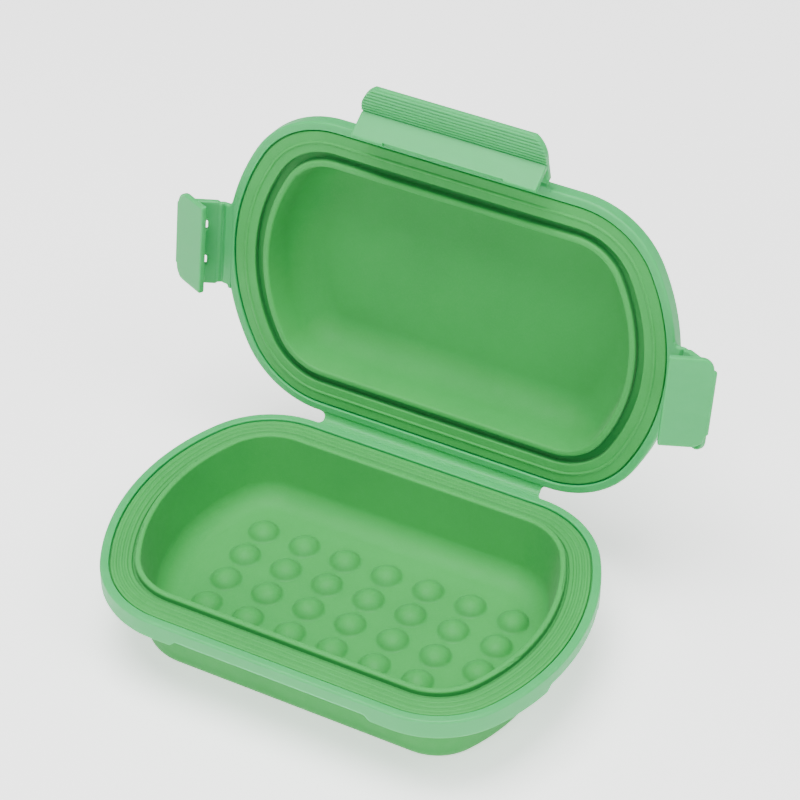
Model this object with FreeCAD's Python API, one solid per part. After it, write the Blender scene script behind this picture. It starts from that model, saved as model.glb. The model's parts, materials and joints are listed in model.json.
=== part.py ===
import FreeCAD, Part
import math
import os

from FreeCAD import Vector

# Rim outline, shared by both halves: straight sides, round corners and bulging ends
rim_length = 116.0
rim_width = 78.0
corner_radius = 23.5
end_radius = 55.5

# Heights, from the flat bottom to the plane where the halves part
base_height = 24.0
floor_level = 7.4
foot_height = 4.2
ceiling_height = 13.2
dome_thickness = 2.0
parting_gap = 0.3

# Hard frames: a band round the outside with a shelf that the silicone flange sits on
band_width = 2.1
band_rounding = 0.6
skirt_depth = 5.5
clip_band_depth = 3.6
lid_band_height = 4.0
lid_band_shoulder = 3.4
lid_band_slope = 0.8
shelf_depth = 1.6
shelf_thickness = 1.2
shelf_reach = 6.6
edge_rounding = 0.3
front_cut_width = 48.0
side_cut_width = 26.0
cut_slope = 1.8

# Silicone flange: set down inside the band, with a fine seam and fine beads
flange_drop = 0.3
seam_width = 0.35
seam_depth = 0.7
bead_width = 0.9
bead_peak = 0.4
bead_rounding = 0.4
base_beads = (3.5, 4.8, 6.1)
lid_beads = (5.2,)

# Sealing lip on the bowl, the groove in the dome that takes it, and the dome's inner lip
lip_outer = 8.1
lip_inner = 9.5
lip_rise = 0.9
lip_rounding = 0.6
channel_width = 0.8
channel_depth = 0.3
channel_rounding = 0.15
groove_clearance = 0.3
groove_depth = 1.8
groove_rounding = 0.4
inner_lip_width = 1.6
inner_lip_drop = 0.2

# Bowl walls: insets from the rim's edge at the top and bottom of the wall
bowl_wall_top = 8.2
bowl_wall_foot = 10.2
bowl_foot_rounding = 4.0
bowl_inner_foot = 12.4
bowl_floor_rounding = 6.0
floor_plate_inset = 20.0
foot_ring_inset = 17.6
foot_rounding = 0.6
foot_rib_width = 6.0

# Dome walls, and the thicker root of its flange that leaves room for the groove
flange_root = 2.2
dome_wall_foot = 9.4
dome_wall_top = 12.2
dome_shoulder_rounding = 9.5
dome_inner_top = 13.6
dome_ceiling_rounding = 8.0
ceiling_plate_inset = 22.0

# Domed nubs on the floor, in rows and columns
nub_columns = 7
nub_rows = 4
nub_pitch_x = 11.1
nub_pitch_y = 9.1
nub_shift_x = 2.2
nub_radius = 4.2
nub_rise = 2.3
nub_flare = 1.2
nub_flare_sink = 0.05

# Bending hinge along the back
open_angle = 98.5
hinge_length = 58.0
hinge_gap = 1.5
hinge_drop = 0.9
hinge_thickness = 0.7

# Clips: a wing plate on a bending strip, with a hook that folds back under the base's rim
latch_level = 0.8
latch_web_half = 1.2
latch_web_thickness = 0.7
latch_web_margin = 1.0
latch_thickness = 1.5
latch_corner = 0.4
latch_edge = 0.35
roll_end = 0.5

front_width = 46.0
front_wing = 5.4
front_hook = 7.2
front_hook_angle = 75.0
front_tilt = 23.5
front_hook_rounding = 1.2
hook_recess_length = 30.0
hook_recess_depth = 0.5
tab_length = 7.2
tab_rounding = 5.5
tab_curl = 30.0
rib_count = 8
rib_radius = 0.33
rib_rise = 0.22
rib_pitch = 0.76
rib_margin = 0.9

side_width = 22.6
side_hook_width = 23.4
side_wing = 9.3
side_hook = 10.4
side_hook_angle = 54.5
left_tilt = 27.5
right_tilt = 28.5
side_wing_rounding = 2.8
side_hook_rounding = 3.2
window_width = 2.6
window_length = 3.2
window_spacing = 9.6
window_start = 2.6
side_shift = 1.3
side_hook_shift = 2.2

# How far a cutting tool runs past what it cuts
overrun = 2.0

# Start, middle and end of a bend
bend_shares = (0, 0.5, 1)

# Values worked out from the ones above
half_length = rim_length / 2
half_width = rim_width / 2
end_x = half_length - end_radius
corner_y = half_width - corner_radius
straight_half = end_x + math.sqrt((end_radius - corner_radius) ** 2 - corner_y ** 2)
corner_turn = math.degrees(math.atan2(straight_half - end_x, corner_y))
end_turn = 180 - 2 * corner_turn
hinge_y = half_width + hinge_gap
lid_face = base_height + parting_gap / 2
base_face = base_height - parting_gap / 2

UPWARD = 1
DOWNWARD = -1
ORIGIN = Vector(0, 0, 0)
X_AXIS = Vector(1, 0, 0)
Y_AXIS = Vector(0, 1, 0)
Z_AXIS = Vector(0, 0, 1)


def rounded_corner(before, corner, after, radius):
    """Points where a rounding of this radius starts, bulges most and ends."""
    back = (before - corner).normalize()
    forth = (after - corner).normalize()
    half = back.getAngle(forth) / 2
    reach = radius / math.tan(half)
    inward = (back + forth).normalize()
    middle = corner + inward * (radius / math.sin(half) - radius)
    return corner + back * reach, middle, corner + forth * reach


def flat(corners):
    """Upright face through (x, z, rounding) corners, in the plane y = 0."""
    points = [Vector(x, 0, z) for x, z, radius in corners]
    edges = []
    ends = []
    for index, (x, z, radius) in enumerate(corners):
        before = points[index - 1]
        after = points[(index + 1) % len(points)]
        if radius:
            first, middle, last = rounded_corner(before, points[index], after, radius)
            edges.append(Part.Arc(first, middle, last).toShape())
        else:
            first = last = points[index]
        ends.append((first, last))
    for index, (first, last) in enumerate(ends):
        edges.append(Part.makeLine(ends[index - 1][1], first))
    return Part.Face(Part.Wire(Part.__sortEdges__(edges)))


def rim_curves():
    """Round stretches of the rim: radius, centre, start angle and turn."""
    start = -90
    for side_x, side_y in ((1, -1), (1, 1), (-1, 1), (-1, -1)):
        centre = Vector(side_x * straight_half, side_y * corner_y, 0)
        if side_x * side_y > 0:
            yield end_radius, Vector(side_x * end_x, 0, 0), start, end_turn
            start += end_turn
        yield corner_radius, centre, start, corner_turn
        start += corner_turn


def ring(corners):
    """Solid that carries a section of (inset, height, rounding) corners all round the rim."""
    face = flat([(-inset, height, radius) for inset, height, radius in corners])
    pieces = []
    for radius, centre, start, turn in rim_curves():
        section = face.translated(Vector(radius, 0, 0))
        section.rotate(ORIGIN, Z_AXIS, start)
        section.translate(centre)
        pieces.append(section.revolve(centre, Z_AXIS, turn))
    for side in (-1, 1):
        section = face.translated(Vector(half_width, 0, 0))
        section.rotate(ORIGIN, Z_AXIS, side * 90)
        section.translate(Vector(side * straight_half, 0, 0))
        pieces.append(section.extrude(Vector(-side * 2 * straight_half, 0, 0)))
    return pieces[0].fuse(pieces[1:]).removeSplitter()


def slab(inset, low, high):
    """Plate with the rim's outline, drawn in by inset."""
    edges = []
    for radius, centre, start, turn in rim_curves():
        circle = Part.Circle(centre, Z_AXIS, radius - inset)
        edges.append(Part.Arc(circle, math.radians(start), math.radians(start + turn)).toShape())
    for side in (-1, 1):
        y = side * (half_width - inset)
        edges.append(Part.makeLine(Vector(-straight_half, y, 0), Vector(straight_half, y, 0)))
    plate = Part.Face(Part.Wire(Part.__sortEdges__(edges))).extrude(Vector(0, 0, high - low))
    return plate.translated(Vector(0, 0, low))


def block(x_range, y_range, z_range):
    """Box between two limits on each axis."""
    low = Vector(x_range[0], y_range[0], z_range[0])
    high = Vector(x_range[1], y_range[1], z_range[1])
    size = high - low
    return Part.makeBox(size.x, size.y, size.z, low)


def beads(centres, level, side):
    """Section corners of fine round beads that stand up or hang down from a level."""
    corners = []
    for centre in centres:
        corners.append((centre - bead_width / 2, level, 0))
        corners.append((centre, level + side * bead_peak, bead_rounding))
        corners.append((centre + bead_width / 2, level, 0))
    return corners


def flange_edge(face, side):
    """Section corners of a flange's outer edge: its seat in the band and the seam beside the band."""
    seat = base_height + side * shelf_depth
    return [
        (band_width, seat, 0),
        (band_width, face + side * seam_depth, 0),
        (band_width + seam_width, face + side * seam_depth, 0),
        (band_width + seam_width, face, edge_rounding),
    ]


def nub():
    """Spherical dome that flares into the floor, standing on the plane z = 0."""
    sphere_z = nub_rise - nub_radius
    flare_z = nub_flare - nub_flare_sink
    reach = nub_radius + nub_flare
    foot = math.sqrt(reach ** 2 - (flare_z - sphere_z) ** 2)
    share = nub_radius / reach
    top = Vector(0, 0, nub_rise)
    meet = Vector(foot * share, 0, sphere_z + (flare_z - sphere_z) * share)
    lean = math.atan2(meet.x, meet.z - sphere_z)
    halfway = Vector(nub_radius * math.sin(lean / 2), 0, sphere_z + nub_radius * math.cos(lean / 2))
    flare_mid = Vector(foot - nub_flare * math.sin(lean / 2), 0, flare_z - nub_flare * math.cos(lean / 2))
    low = Vector(foot, 0, -nub_flare_sink)
    deep = Vector(foot, 0, -nub_rise)
    axis_foot = Vector(0, 0, -nub_rise)
    edges = [Part.Arc(top, halfway, meet).toShape(), Part.Arc(meet, flare_mid, low).toShape()]
    edges.append(Part.makePolygon([low, deep, axis_foot, top]))
    face = Part.Face(Part.Wire([edge for shape in edges for edge in shape.Edges]))
    return face.revolve(ORIGIN, Z_AXIS, 360)


def nub_field():
    """All the nubs, on the bowl's floor."""
    one = nub()
    places = []
    for row in range(nub_rows):
        for column in range(nub_columns):
            x = nub_shift_x + (column - (nub_columns - 1) / 2) * nub_pitch_x
            y = (row - (nub_rows - 1) / 2) * nub_pitch_y
            places.append(one.translated(Vector(x, y, floor_level)))
    return places


def foot_rib():
    """Bar across the underside that holds the floor up between the long sides of the foot ring."""
    reach = half_width - foot_ring_inset + overrun
    return block((-foot_rib_width / 2, foot_rib_width / 2), (-reach, reach), (0, floor_level))


def base_bowl():
    """Silicone bowl: flange, sealing lip, walls, foot ring and floor with nubs."""
    face = base_face - flange_drop
    channel = face - channel_depth
    corners = flange_edge(face, DOWNWARD) + beads(base_beads, face, UPWARD)
    corners += [
        (lip_outer - channel_width, face, channel_rounding),
        (lip_outer - channel_width + channel_depth, channel, channel_rounding),
        (lip_outer, channel, channel_rounding),
        (lip_outer, base_height + lip_rise, lip_rounding),
        (lip_inner, base_height + lip_rise, lip_rounding),
        (bowl_inner_foot, floor_level, bowl_floor_rounding),
        (floor_plate_inset, floor_level, 0),
        (floor_plate_inset, foot_height, 0),
        (foot_ring_inset, foot_height, foot_rounding),
        (foot_ring_inset, 0, foot_rounding),
        (bowl_wall_foot, 0, bowl_foot_rounding),
        (bowl_wall_top, base_height - shelf_depth, edge_rounding),
    ]
    shell = ring(corners)
    floor = slab(floor_plate_inset, foot_height, floor_level)
    return shell.fuse([floor, foot_rib()] + nub_field()).removeSplitter()


def skirt_cut(width, top, bottom, reach):
    """Wedge that takes the skirt away under a clip, at the front of a rim that lies reach from the centre."""
    slope = cut_slope / (top - bottom)
    half = width / 2
    foot = half + slope * (top - bottom + overrun)
    face = flat([(-half, top, 0), (half, top, 0), (foot, bottom - overrun, 0), (-foot, bottom - overrun, 0)])
    return face.extrude(Vector(0, shelf_reach + overrun, 0)).translated(Vector(0, -reach - overrun, 0))


def base_frame():
    """Hard ring round the bowl, its skirt cut away under each clip."""
    seat = base_height - shelf_depth
    under = seat - shelf_thickness
    skirt = base_height - skirt_depth
    frame = ring([
        (0, base_face, band_rounding),
        (band_width, base_face, edge_rounding),
        (band_width, seat, 0),
        (shelf_reach, seat, 0),
        (shelf_reach, under, 0),
        (band_width, under, edge_rounding),
        (band_width, skirt, edge_rounding),
        (0, skirt, band_rounding),
    ])
    clip_edge = base_height - clip_band_depth
    cuts = [skirt_cut(front_cut_width, clip_edge, skirt, half_width)]
    for side in (-90, 90):
        cut = skirt_cut(side_cut_width, clip_edge, skirt, half_length).rotated(ORIGIN, Z_AXIS, side)
        cuts.append(cut.translated(Vector(0, side_shift, 0)))
    return frame.cut(cuts)


def lid_frame():
    """Hard ring round the dome, in its closed place."""
    seat = base_height + shelf_depth
    over = seat + shelf_thickness
    top = base_height + lid_band_height
    return ring([
        (0, lid_face, band_rounding),
        (band_width, lid_face, edge_rounding),
        (band_width, seat, 0),
        (shelf_reach, seat, 0),
        (shelf_reach, over, 0),
        (lid_band_shoulder + lid_band_slope, over, edge_rounding),
        (lid_band_shoulder, top, edge_rounding),
        (0, top, band_rounding),
    ])


def lid_dome():
    """Silicone dome, in its closed place: flange, groove for the bowl's lip, inner lip, walls and ceiling."""
    face = lid_face + flange_drop
    groove_top = face + groove_depth
    groove_outer = lip_outer - groove_clearance
    groove_inner = lip_inner + groove_clearance
    inner_lip = face - inner_lip_drop
    ceiling = base_height + ceiling_height
    seat = base_height + shelf_depth
    root = seat + flange_root
    corners = flange_edge(face, UPWARD) + beads(lid_beads, face, DOWNWARD)
    corners += [
        (groove_outer, face, groove_rounding),
        (groove_outer, groove_top, groove_rounding),
        (groove_inner, groove_top, groove_rounding),
        (groove_inner, inner_lip, lip_rounding),
        (groove_inner + inner_lip_width, inner_lip, lip_rounding),
        (dome_inner_top, ceiling, dome_ceiling_rounding),
        (ceiling_plate_inset, ceiling, 0),
        (ceiling_plate_inset, ceiling + dome_thickness, 0),
        (dome_wall_top, ceiling + dome_thickness, dome_shoulder_rounding),
        (dome_wall_foot, root, edge_rounding),
        (shelf_reach, root, edge_rounding),
        (shelf_reach, seat, 0),
    ]
    shell = ring(corners)
    plate = slab(ceiling_plate_inset, ceiling, ceiling + dome_thickness)
    return shell.fuse(plate).removeSplitter()


def bent_strip(width, radius, turn, thickness):
    """Strip that leaves the origin along +Y and bends up by turn degrees, as wide as width along X."""
    def point(distance, share):
        angle = math.radians(turn * share)
        return Vector(0, distance * math.sin(angle), radius - distance * math.cos(angle))

    inner = radius - thickness / 2
    outer = radius + thickness / 2
    arcs = [Part.Arc(*(point(reach, share) for share in bend_shares)).toShape() for reach in (inner, outer)]
    ends = [Part.makeLine(point(inner, share), point(outer, share)) for share in bend_shares[::2]]
    face = Part.Face(Part.Wire(Part.__sortEdges__(arcs + ends)))
    return face.extrude(Vector(width, 0, 0)).translated(Vector(-width / 2, 0, 0))


def hinge_web():
    """Bending strip between the two frames, at the photographed opening."""
    turn = 180 - open_angle
    reach = hinge_gap + hinge_drop / math.tan(math.radians(open_angle / 2))
    radius = reach / math.tan(math.radians(turn / 2))
    strip = bent_strip(hinge_length, radius, turn, hinge_thickness)
    return strip.translated(Vector(0, half_width, base_height - hinge_drop))


def plate(width, low, high, low_rounding, high_rounding):
    """Upright plate of the clips' thickness, centred on the plane y = 0."""
    face = flat([
        (-width / 2, low, low_rounding),
        (width / 2, low, low_rounding),
        (width / 2, high, high_rounding),
        (-width / 2, high, high_rounding),
    ])
    solid = face.extrude(Vector(0, latch_thickness, 0)).translated(Vector(0, -latch_thickness / 2, 0))
    return solid.makeFillet(latch_edge, [edge for edge in solid.Edges if edge.BoundBox.YLength < latch_edge])


def hook(width, length, angle, crease, rounding):
    """Plate that folds back from the crease at the wing's lower edge, towards the base."""
    solid = plate(width, 0, length, rounding, latch_corner)
    solid.rotate(ORIGIN, X_AXIS, -angle)
    return solid.translated(Vector(0, 0, crease))


def crease_roll(width, crease):
    """Round edge where the wing and the hook meet."""
    roll = Part.makeCylinder(latch_thickness / 2, width, Vector(-width / 2, 0, crease), X_AXIS)
    return roll.makeFillet(roll_end, [edge for edge in roll.Edges if edge.BoundBox.XLength < latch_edge])


def finger_tab():
    """Ribbed tab that hangs from the origin and curls outward, with its ribs on the inner face."""
    radius = tab_length / math.radians(tab_curl)
    strip = bent_strip(front_width, radius, tab_curl, latch_thickness)
    strip.rotate(ORIGIN, X_AXIS, 90)
    strip.rotate(ORIGIN, Y_AXIS, 180)
    depth = -strip.BoundBox.ZMin
    half = front_width / 2
    outline = flat([(-half, 0, 0), (half, 0, 0), (half, -depth, tab_rounding), (-half, -depth, tab_rounding)])
    room = outline.extrude(Vector(0, 2 * tab_length, 0)).translated(Vector(0, -tab_length, 0))
    tab = strip.common(room)
    rim = [edge for edge in tab.Edges if edge.BoundBox.ZMax < -latch_edge]
    tab = tab.makeFillet(latch_edge, [edge for edge in rim if edge.Length > latch_thickness])
    reach = radius + latch_thickness / 2 + rib_rise - rib_radius
    ribs = []
    for index in range(rib_count):
        turn = (tab_length - rib_margin - index * rib_pitch) / radius
        start = Vector(-half, reach * math.cos(turn) - radius, -reach * math.sin(turn))
        ribs.append(Part.makeCylinder(rib_radius, front_width, start, X_AXIS).common(room))
    return tab.fuse(ribs)


def front_clip():
    """Front clip in its closed place, with its pivot at the origin."""
    crease = -latch_web_half - front_wing
    wing = plate(front_width, crease, -latch_web_half, 0, latch_corner)
    fold = hook(front_width, front_hook, front_hook_angle, crease, front_hook_rounding)
    recess = block((-hook_recess_length / 2, hook_recess_length / 2), (-overrun, overrun),
                   (front_hook - hook_recess_depth, front_hook + overrun))
    recess.rotate(ORIGIN, X_AXIS, -front_hook_angle)
    fold = fold.cut(recess.translated(Vector(0, 0, crease)))
    tab = finger_tab().translated(Vector(0, 0, crease))
    return wing.fuse([fold, tab]).removeSplitter()


def side_clip(front_side):
    """Side clip in its closed place, facing front, with its pivot at the origin. Its hook sits off centre."""
    crease = -latch_web_half - side_wing
    wing = plate(side_width, crease, -latch_web_half, side_wing_rounding, latch_corner)
    fold = hook(side_hook_width, side_hook, side_hook_angle, crease, side_hook_rounding)
    roll = crease_roll(side_hook_width - 2 * side_hook_rounding, crease)
    aside = Vector(front_side * side_hook_shift, 0, 0)
    top = -latch_web_half - window_start
    for side in (-1, 1):
        centre = side * window_spacing / 2
        window = block((centre - window_width / 2, centre + window_width / 2),
                       (-latch_thickness, latch_thickness), (top - window_length, top))
        wing = wing.cut(window)
    return wing.fuse([fold.translated(aside), roll.translated(aside)]).removeSplitter()


def clip_web(width, tilt):
    """Bending strip from the lid's rim to a clip that stands tilt degrees below the lid's plane."""
    radius = latch_web_half / math.tan(math.radians(tilt / 2))
    strip = bent_strip(width - 2 * latch_web_margin, radius, tilt, latch_web_thickness)
    strip.rotate(ORIGIN, X_AXIS, 180)
    half = width / 2 - latch_web_margin
    thick = latch_web_thickness / 2
    root = block((-half, half), (0, shelf_reach), (-thick, thick))
    return strip.fuse(root).removeSplitter().translated(Vector(0, latch_web_half, 0))


def open_lid(shape):
    """Turns what belongs to the lid from closed to the photographed opening."""
    return shape.rotated(Vector(0, hinge_y, base_height), X_AXIS, -open_angle)


def clip_place(shape, side_angle):
    """Moves a clip's piece from the origin to its place on the closed lid's rim, then opens the lid."""
    reach = half_length if side_angle else half_width
    placed = shape.translated(Vector(0, -reach - latch_web_half, base_height + latch_level))
    placed.rotate(ORIGIN, Z_AXIS, side_angle)
    placed.translate(Vector(0, side_shift if side_angle else 0, 0))
    return open_lid(placed)


def clips():
    """The three clips and their bending strips, at rest on the open lid."""
    rim = open_lid(slab(0, base_height, base_height + lid_band_height))
    kinds = {
        "front_latch": (front_clip(), front_width, front_tilt, 0),
        "left_latch": (side_clip(1), side_width, left_tilt, -90),
        "right_latch": (side_clip(-1), side_width, right_tilt, 90),
    }
    nodes = {}
    for name, (clip, width, tilt, side_angle) in kinds.items():
        nodes[name] = clip_place(clip.rotated(ORIGIN, X_AXIS, tilt - 90), side_angle)
        nodes[name + "_web"] = clip_place(clip_web(width, tilt), side_angle).cut(rim)
        pivot = clip_place(Part.Vertex(ORIGIN), side_angle).Point
        print(name, "pivot", [round(value, 4) for value in pivot])
    return nodes


nodes = {
    "base_bowl": base_bowl(),
    "base_frame": base_frame(),
    "hinge_web": hinge_web(),
    "lid_dome": open_lid(lid_dome()),
    "lid_frame": open_lid(lid_frame()),
}
nodes.update(clips())

os.makedirs("parts", exist_ok=True)
for name, shape in nodes.items():
    solid = shape.Solids[0]
    print(name, len(shape.Solids), shape.isValid(), round(shape.Volume, 1), len(shape.Faces))
    solid.exportStep("parts/" + name + ".step")
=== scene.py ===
import json
import math

import bpy
import numpy as np
from mathutils import Matrix, Vector


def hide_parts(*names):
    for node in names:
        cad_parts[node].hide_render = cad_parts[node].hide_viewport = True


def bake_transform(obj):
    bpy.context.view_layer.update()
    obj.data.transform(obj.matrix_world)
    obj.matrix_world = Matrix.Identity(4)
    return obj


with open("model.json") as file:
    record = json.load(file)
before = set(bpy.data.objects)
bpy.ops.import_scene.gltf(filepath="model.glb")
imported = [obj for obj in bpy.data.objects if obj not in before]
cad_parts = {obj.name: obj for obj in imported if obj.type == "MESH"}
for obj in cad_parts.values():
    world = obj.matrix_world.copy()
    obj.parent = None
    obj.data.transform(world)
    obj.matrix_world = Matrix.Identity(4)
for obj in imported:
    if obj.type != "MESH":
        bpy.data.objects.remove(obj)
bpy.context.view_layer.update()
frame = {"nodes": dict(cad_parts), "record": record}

MM = 0.001

# The lid's hinge and the box's rim, in millimetres and degrees, as in the CAD
HINGE = Vector((0, 40.5, 24.0))
OPEN_ANGLE = 98.5
HALF_LENGTH = 58.0
HALF_WIDTH = 39.0
PARTING = 24.0

# Hinge strip in millimetres: level below the parting, half width, end flares, thickness and fold
HINGE_DEPTH = 0.9
HINGE_HALF = 29.0
HINGE_FLARE = 1.6
HINGE_THICKNESS = 0.7
HINGE_FOLD = 0.22

# Clip strips in millimetres: place on the rim, half length, half widths, flares, thickness and fold
CLIP_LEVEL = 0.8
SIDE_SHIFT = 1.3
STRIP_HALF = 1.2
FRONT_HALF = 22.6
SIDE_HALF = 11.0
CLIP_FLARES = (0.9, 0.2)
CLIP_THICKNESS = 1.44
CLIP_FOLD = 0.45

# How far the strips run into the pieces they join, in millimetres; the side rims curve and need more
RUN_IN = 0.5
SIDE_RUN = 1.5

# The angles the clips lean at in the photograph, in degrees
FRONT_TILT = 23.5
LEFT_TILT = 27.5
RIGHT_TILT = 28.5

# How finely a strip is drawn, and the roundness of its edges and fold
RUN_STEPS = 6
BEND_STEPS = 28
CORNER_STEPS = 4
EDGE_SHARE = 0.45
FOLD_POWER = 4

# Smooth shading: sharpest smooth edge in degrees, places per metre that tell points apart, least length
SMOOTH_LIMIT = 32
PLACES_PER_METRE = 2e6
TINY = 1e-20

# Softer edges of the side clips: cell in millimetres, then strength and rounds of the smoothing
SKIN_GRID = 0.16
BLUR_FACTOR = 0.5
BLUR_ROUNDS = 8

# Mean colours of silicone and plastic, and how far red, green and blue travel under the skin, as shares
SILICONE = (0.0270, 0.3000, 0.0560)
PLASTIC = (0.0200, 0.3650, 0.0950)
WHITE = (1, 1, 1)
GLOW_RADIUS = (0.6, 1.0, 0.7)

# Openness of a point at which the painted crevice shade is deepest, and at which it ends
DEEP = 0.4
OPEN = 0.97

# Colour sockets of Blender's mixing node
MIX_COLOURS = (6, 7)
MIX_RESULT = 2

# The photograph's viewing angle, in degrees and millimetres, with the nearest distance drawn in metres
AZIMUTH = 27.37
ELEVATION = 40.54
DISTANCE = 664.45
SHIFT_RIGHT = 11.43
SHIFT_UP = 36.43
LENS = 129.94
SENSOR = 36
NEAREST = 0.01

# Floor: cells along a side, their size and the drop in metres, and its own glow
FLOOR_CELLS = 24
FLOOR_STEP = 0.25
FLOOR_DROP = 0.0001
FLOOR_GLOW = 1.1

# Glow of the surroundings, and the soft lights: name, place and side in metres, power in watts
WORLD_GLOW = 0.38
LIGHT_TARGET = (0, 0.02, 0.03)
LIGHTS = (
    ("overhead", (-0.06, -0.12, 1.0), 0.6, 18),
    ("front_fill", (0.05, -0.75, 0.6), 0.3, 3),
    ("right_fill", (0.6, -0.12, 0.8), 0.4, 4),
)


def shade(colour, factor, white=0.0):
    """A colour made darker or lighter, then whitened by a share."""
    return [channel * factor * (1 - white) + white for channel in colour] + [1]


class Nodes:
    """Short way to add and join the nodes of one material."""

    def __init__(self, name):
        self.material = bpy.data.materials.new(name)
        self.material.use_nodes = True
        self.tree = self.material.node_tree
        self.shader = self.tree.nodes["Principled BSDF"]
        self.place = self.add("ShaderNodeTexCoord").outputs["Object"]

    def add(self, kind, **values):
        """A new node with its settings."""
        node = self.tree.nodes.new(kind)
        for key, value in values.items():
            setattr(node, key, value)
        return node

    def join(self, output, socket):
        self.tree.links.new(output, socket)

    def set(self, socket, value):
        """Gives one of the shader's own sockets a constant."""
        self.shader.inputs[socket].default_value = value

    def stretch(self, scale):
        """The object's coordinates, scaled along each axis."""
        node = self.add("ShaderNodeMapping")
        node.inputs["Scale"].default_value = scale
        self.join(self.place, node.inputs["Vector"])
        return node.outputs["Vector"]

    def noise(self, scale, detail, place=None):
        """Noise with a number of waves per metre."""
        node = self.add("ShaderNodeTexNoise")
        node.inputs["Scale"].default_value = scale
        node.inputs["Detail"].default_value = detail
        self.join(place or self.place, node.inputs["Vector"])
        return node.outputs["Fac"]

    def spread(self, value, low, high, start=0.3, end=0.7):
        """Maps a value that runs from start to end onto low to high."""
        node = self.add("ShaderNodeMapRange")
        for key, number in (("From Min", start), ("From Max", end), ("To Min", low), ("To Max", high)):
            node.inputs[key].default_value = number
        self.join(value, node.inputs["Value"])
        return node.outputs["Result"]

    def mix(self, share, first, second):
        """Two colours mixed by a share of the second."""
        node = self.add("ShaderNodeMix", data_type="RGBA")
        self.join(share, node.inputs["Factor"])
        for index, colour in zip(MIX_COLOURS, (first, second)):
            if isinstance(colour, list):
                node.inputs[index].default_value = colour
            else:
                self.join(colour, node.inputs[index])
        return node.outputs[MIX_RESULT]

    def painted_crevice_shade(self, reach, share):
        """Painted shade: a value that is share in a deep groove of the piece and falls to nothing in the
        open.
        """
        # Painted shade: occlusion by the piece's own nearby surfaces sets how much darker the colour is
        # made
        node = self.add("ShaderNodeAmbientOcclusion", samples=8, only_local=True)
        node.inputs["Distance"].default_value = reach
        return self.spread(node.outputs["AO"], low=share, high=0, start=DEEP, end=OPEN)

    def translucent(self, weight, reach):
        """Light that travels a short way under the skin."""
        self.set("Subsurface Weight", weight)
        self.set("Subsurface Radius", GLOW_RADIUS)
        self.set("Subsurface Scale", reach)

    def bump(self, *layers):
        """Fine relief, from layers of height, depth in metres and strength."""
        normal = None
        for height, depth, strength in layers:
            node = self.add("ShaderNodeBump")
            node.inputs["Strength"].default_value = strength
            node.inputs["Distance"].default_value = depth
            self.join(height, node.inputs["Height"])
            if normal:
                self.join(normal, node.inputs["Normal"])
            normal = node.outputs["Normal"]
        self.join(normal, self.shader.inputs["Normal"])


def silicone():
    """Soft green silicone: cloudy pigment, a fine matt grain and painted shade that darkens its
    crevices.
    """
    n = Nodes("green_silicone")
    cloud = n.spread(n.noise(scale=38, detail=3), low=0, high=1)
    grain = n.noise(scale=2600, detail=2)
    speckle = n.spread(grain, low=0, high=0.3, start=0.45, end=0.8)
    body = n.mix(cloud, shade(SILICONE, 0.94), shade(SILICONE, 1.06))
    body = n.mix(speckle, body, shade(SILICONE, 1.12, white=0.02))
    # Painted shade: the colour is darkened in the piece's own grooves and around the nubs, where shade
    # falls
    body = n.mix(n.painted_crevice_shade(reach=5 * MM, share=0.75), body, shade(SILICONE, 0.5))
    n.join(body, n.shader.inputs["Base Color"])
    n.join(n.spread(n.noise(scale=420, detail=3), low=0.58, high=0.72), n.shader.inputs["Roughness"])
    n.bump((n.noise(scale=160, detail=2), 0.2 * MM, 0.06), (grain, 0.04 * MM, 0.14))
    n.translucent(weight=0.3, reach=1.5 * MM)
    n.set("Specular IOR Level", 0.24)
    n.set("Sheen Weight", 0.04)
    n.set("Sheen Roughness", 0.5)
    return n.material


def frame_plastic():
    """Mint polypropylene: smooth satin skin with faint flow marks and painted shade that darkens its
    crevices.
    """
    n = Nodes("mint_polypropylene")
    cloud = n.spread(n.noise(scale=30, detail=3), low=0, high=1)
    flow = n.noise(scale=90, detail=4, place=n.stretch((1, 6, 6)))
    peel = n.noise(scale=900, detail=2)
    body = n.mix(cloud, shade(PLASTIC, 0.95), shade(PLASTIC, 1.05))
    body = n.mix(n.spread(flow, low=0, high=0.3), body, shade(PLASTIC, 1.05, white=0.03))
    # Painted shade: the colour is darkened in the piece's own grooves and recesses, where shade falls
    body = n.mix(n.painted_crevice_shade(reach=2 * MM, share=0.6), body, shade(PLASTIC, 0.6))
    n.join(body, n.shader.inputs["Base Color"])
    n.join(n.spread(flow, low=0.42, high=0.55), n.shader.inputs["Roughness"])
    n.bump((n.noise(scale=240, detail=2), 0.2 * MM, 0.05), (peel, 0.03 * MM, 0.12))
    n.translucent(weight=0.5, reach=2 * MM)
    n.set("Specular IOR Level", 0.32)
    return n.material


def floor_paint():
    """Plain pale floor with a barely visible mottle."""
    n = Nodes("pale_floor")
    mottle = n.spread(n.noise(scale=6, detail=3), low=0, high=1)
    body = n.mix(mottle, shade(WHITE, 0.9), shade(WHITE, 0.93))
    n.join(body, n.shader.inputs["Base Color"])
    n.join(body, n.shader.inputs["Emission Color"])
    n.set("Emission Strength", FLOOR_GLOW)
    n.set("Roughness", 0.9)
    n.set("Specular IOR Level", 0.1)
    return n.material


def read(rows, field, kind, width=1):
    """One field of a mesh's points, corners or faces as an array."""
    values = np.empty(len(rows) * width, kind)
    rows.foreach_get(field, values)
    return values.reshape(-1, width) if width > 1 else values


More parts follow.
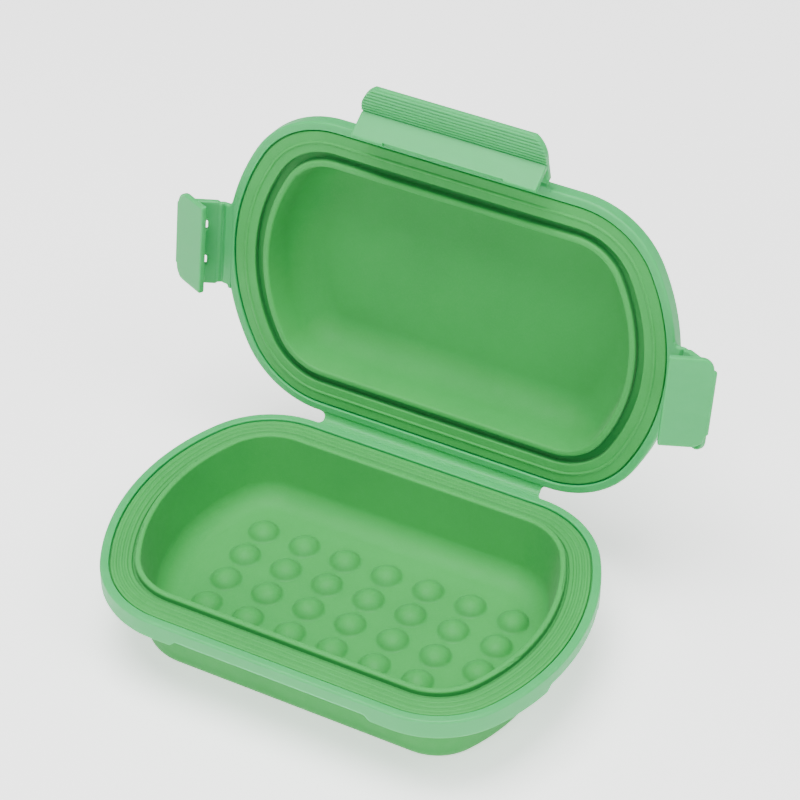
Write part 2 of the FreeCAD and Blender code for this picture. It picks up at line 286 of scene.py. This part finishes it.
def soften(piece):
    """Shades a mesh smooth, apart from edges sharper than the limit."""
    mesh = piece.data
    count = len(mesh.loops)
    corner = read(mesh.loops, "vertex_index", np.int32)
    sizes = read(mesh.polygons, "loop_total", np.int32)
    face = np.repeat(np.arange(len(sizes)), sizes)
    facing = read(mesh.polygons, "normal", np.float32, 3)[face]
    areas = read(mesh.polygons, "area", np.float32)[face]
    places = np.round(read(mesh.vertices, "co", np.float32, 3) * PLACES_PER_METRE).astype(np.int64)
    group = np.unique(places, axis=0, return_inverse=True)[1].reshape(-1)[corner]
    order = np.argsort(group, kind="stable")
    starts = np.flatnonzero(np.r_[True, np.diff(group[order]) > 0])
    lengths = np.diff(np.r_[starts, count])
    least = math.cos(math.radians(SMOOTH_LIMIT))
    smooth = np.empty((count, 3), np.float32)
    for length in np.unique(lengths):
        rows = order[starts[lengths == length][:, None] + np.arange(length)]
        near = np.einsum("gic,gjc->gij", facing[rows], facing[rows]) > least
        total = np.einsum("gij,gjc->gic", near * areas[rows][:, None, :], facing[rows])
        size = np.linalg.norm(total, axis=2, keepdims=True)
        smooth[rows] = np.where(size > 0, total / np.maximum(size, TINY), facing[rows])
    mesh.polygons.foreach_set("use_smooth", np.ones(len(sizes), bool))
    mesh.normals_split_custom_set(smooth.tolist())


def round_off(piece):
    """Rounds a clip's edges a little more, as on a soft moulding."""
    skin = piece.modifiers.new("even_skin", "REMESH")
    skin.mode = "VOXEL"
    skin.voxel_size = SKIN_GRID * MM
    skin.use_smooth_shade = True
    blur = piece.modifiers.new("soft_edges", "SMOOTH")
    blur.factor = BLUR_FACTOR
    blur.iterations = BLUR_ROUNDS


def mesh_piece(name, points, faces):
    """New object in the scene, made of points and faces."""
    mesh = bpy.data.meshes.new(name)
    mesh.from_pydata(points, [], faces)
    mesh.update()
    piece = bpy.data.objects.new(name, mesh)
    bpy.context.scene.collection.objects.link(piece)
    return piece


def bend_point(radius, angle):
    """Point of a strip's bend, which starts at the origin along Y and curls up."""
    return Vector((0, radius * math.sin(angle), radius - radius * math.cos(angle)))


def strip_stations(radius, turn, start_run, end_run):
    """Distance, place and lean along a strip, which runs in straight, bends up and runs out straight."""
    arc = radius * turn
    for step in range(RUN_STEPS):
        distance = start_run * (step / RUN_STEPS - 1)
        yield distance, Vector((0, distance, 0)), 0
    for step in range(BEND_STEPS + 1):
        angle = turn * step / BEND_STEPS
        yield arc * step / BEND_STEPS, bend_point(radius, angle), angle
    along = Vector((0, math.cos(turn), math.sin(turn)))
    yield arc + end_run, bend_point(radius, turn) + along * end_run, turn


def flare(distance, radius):
    """How far a concave rounding widens a strip at a distance from the rim that it leaves."""
    if distance >= radius:
        return 0
    if distance <= 0:
        return radius
    return radius - math.sqrt(radius ** 2 - (radius - distance) ** 2)


def strip_ring(centre, lean, width, top, bottom):
    """Outline across a strip, with rounded corners."""
    upward = Vector((0, -math.sin(lean), math.cos(lean)))
    rounding = (top - bottom) * EDGE_SHARE
    high = top - rounding
    low = bottom + rounding
    ring = []
    for side, level, first in ((1, high, 0), (-1, high, 90), (-1, low, 180), (1, low, 270)):
        for step in range(CORNER_STEPS + 1):
            angle = math.radians(first + step * 90 / CORNER_STEPS)
            across = side * (width - rounding) + rounding * math.cos(angle)
            ring.append(centre + Vector((across, 0, 0)) + upward * (level + rounding * math.sin(angle)))
    return ring


def tube(name, rings):
    """Closed mesh through rings of points."""
    count = len(rings[0])
    last = (len(rings) - 1) * count
    faces = [list(range(count))[::-1], [last + index for index in range(count)]]
    for start in range(0, last, count):
        for index in range(count):
            here = start + index
            beside = start + (index + 1) % count
            faces.append([here, beside, beside + count, here + count])
    return mesh_piece(name, [point for ring in rings for point in ring], faces)


def strip(name, node, place, half, radius, turn, flares, runs, thickness, fold):
    """Bending strip with rounded edges, widened where it meets its rims and thinned along its fold."""
    arc = radius * turn
    rim_gap = runs[0] - runs[1]
    rings = []
    for distance, centre, lean in strip_stations(radius, turn, *runs):
        width = half + flare(distance + rim_gap, flares[0]) + flare(arc - distance, flares[1])
        share = min(max(distance / arc, 0), 1)
        top = thickness / 2 - fold * math.sin(math.pi * share) ** FOLD_POWER
        ring = strip_ring(centre, lean, width, top, -thickness / 2)
        rings.append([place @ (point * MM) for point in ring])
    piece = tube(name, rings)
    soften(piece)
    piece.data.materials.append(materials["frame_plastic"])
    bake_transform(piece)
    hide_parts(node)


def moved(x, y, z):
    """Shift in millimetres."""
    return Matrix.Translation(Vector((x, y, z)) * MM)


def turned(degrees, axis):
    """Turn about an axis through the origin."""
    return Matrix.Rotation(math.radians(degrees), 4, axis)


def clip_place(side_angle):
    """Place of a clip's strip on the open lid's rim, its start at the rim."""
    reach = HALF_LENGTH if side_angle else HALF_WIDTH
    shift = moved(0, SIDE_SHIFT if side_angle else 0, 0)
    on_rim = shift @ turned(side_angle, "Z") @ moved(0, -reach, PARTING + CLIP_LEVEL) @ turned(180, "X")
    return moved(*HINGE) @ turned(-OPEN_ANGLE, "X") @ moved(*-HINGE) @ on_rim


def floor():
    """Large pale floor under the box."""
    lines = FLOOR_CELLS + 1
    steps = [(index - FLOOR_CELLS / 2) * FLOOR_STEP for index in range(lines)]
    points = [(x, y, -FLOOR_DROP) for y in steps for x in steps]
    starts = [row * lines + column for row in range(FLOOR_CELLS) for column in range(FLOOR_CELLS)]
    faces = [(start, start + 1, start + lines + 1, start + lines) for start in starts]
    piece = mesh_piece("floor", points, faces)
    piece.data.materials.append(floor_paint())


def softbox(name, place, size, power):
    """Square soft light that faces the box."""
    light = bpy.data.lights.new(name, "AREA")
    light.shape = "RECTANGLE"
    light.size = size
    light.size_y = size
    light.energy = power
    lamp = bpy.data.objects.new(name, light)
    lamp.location = place
    lamp.rotation_mode = "QUATERNION"
    lamp.rotation_quaternion = (Vector(LIGHT_TARGET) - Vector(place)).to_track_quat("-Z", "Y")
    bpy.context.scene.collection.objects.link(lamp)


def camera():
    """Camera at the photograph's place."""
    azimuth = math.radians(AZIMUTH)
    elevation = math.radians(ELEVATION)
    level = math.cos(elevation)
    back = Vector((math.sin(azimuth) * level, -math.cos(azimuth) * level, math.sin(elevation)))
    right = Vector((math.cos(azimuth), math.sin(azimuth), 0))
    up = back.cross(right)
    place = Vector((0, 0, PARTING)) + back * DISTANCE + right * SHIFT_RIGHT + up * SHIFT_UP
    data = bpy.data.cameras.new("camera")
    data.lens = LENS
    data.sensor_width = SENSOR
    data.clip_start = NEAREST
    lens = bpy.data.objects.new("camera", data)
    turn = Matrix((right, up, back)).transposed().to_4x4()
    lens.matrix_world = Matrix.Translation(place * MM) @ turn
    bpy.context.scene.collection.objects.link(lens)
    bpy.context.scene.camera = lens


def surroundings():
    """Even white surroundings."""
    world = bpy.data.worlds.new("studio")
    world.use_nodes = True
    background = world.node_tree.nodes["Background"]
    background.inputs["Color"].default_value = (*WHITE, 1)
    background.inputs["Strength"].default_value = WORLD_GLOW
    bpy.context.scene.world = world


materials = {"silicone": silicone(), "frame_plastic": frame_plastic()}

# The CAD pieces take the finish of their slot
slots = {row["node"]: row["material_slot"] for row in frame["record"]["subparts"]}
for name, node in frame["nodes"].items():
    soften(node)
    node.data.materials.clear()
    node.data.materials.append(materials[slots[name]])

# The side clips' edges are drawn rounder than in the CAD
for name in ("left_latch", "right_latch"):
    round_off(frame["nodes"][name])

# Bending strip of the hinge, along the back
hinge_turn = math.radians(180 - OPEN_ANGLE)
hinge_reach = HINGE.y - HALF_WIDTH + HINGE_DEPTH / math.tan(math.radians(OPEN_ANGLE / 2))
hinge_radius = hinge_reach / math.tan(hinge_turn / 2)
strip("hinge_strip", "hinge_web", moved(0, HALF_WIDTH, PARTING - HINGE_DEPTH),
      half=HINGE_HALF, radius=hinge_radius, turn=hinge_turn, flares=(HINGE_FLARE, HINGE_FLARE),
      runs=(RUN_IN, RUN_IN), thickness=HINGE_THICKNESS, fold=HINGE_FOLD)

# Bending strip of each clip: name, side of the box, half width, lean and run into the rim
clips = (
    ("front", 0, FRONT_HALF, FRONT_TILT, RUN_IN),
    ("left", -90, SIDE_HALF, LEFT_TILT, SIDE_RUN),
    ("right", 90, SIDE_HALF, RIGHT_TILT, SIDE_RUN),
)
for name, side_angle, half, tilt, run in clips:
    bend = math.radians(tilt)
    strip(name + "_clip_strip", name + "_latch_web", clip_place(side_angle),
          half=half, radius=STRIP_HALF / math.tan(bend / 2), turn=bend, flares=CLIP_FLARES,
          runs=(run, RUN_IN), thickness=CLIP_THICKNESS, fold=CLIP_FOLD)

floor()
surroundings()
for name, place, size, power in LIGHTS:
    softbox(name, place, size, power)
camera()
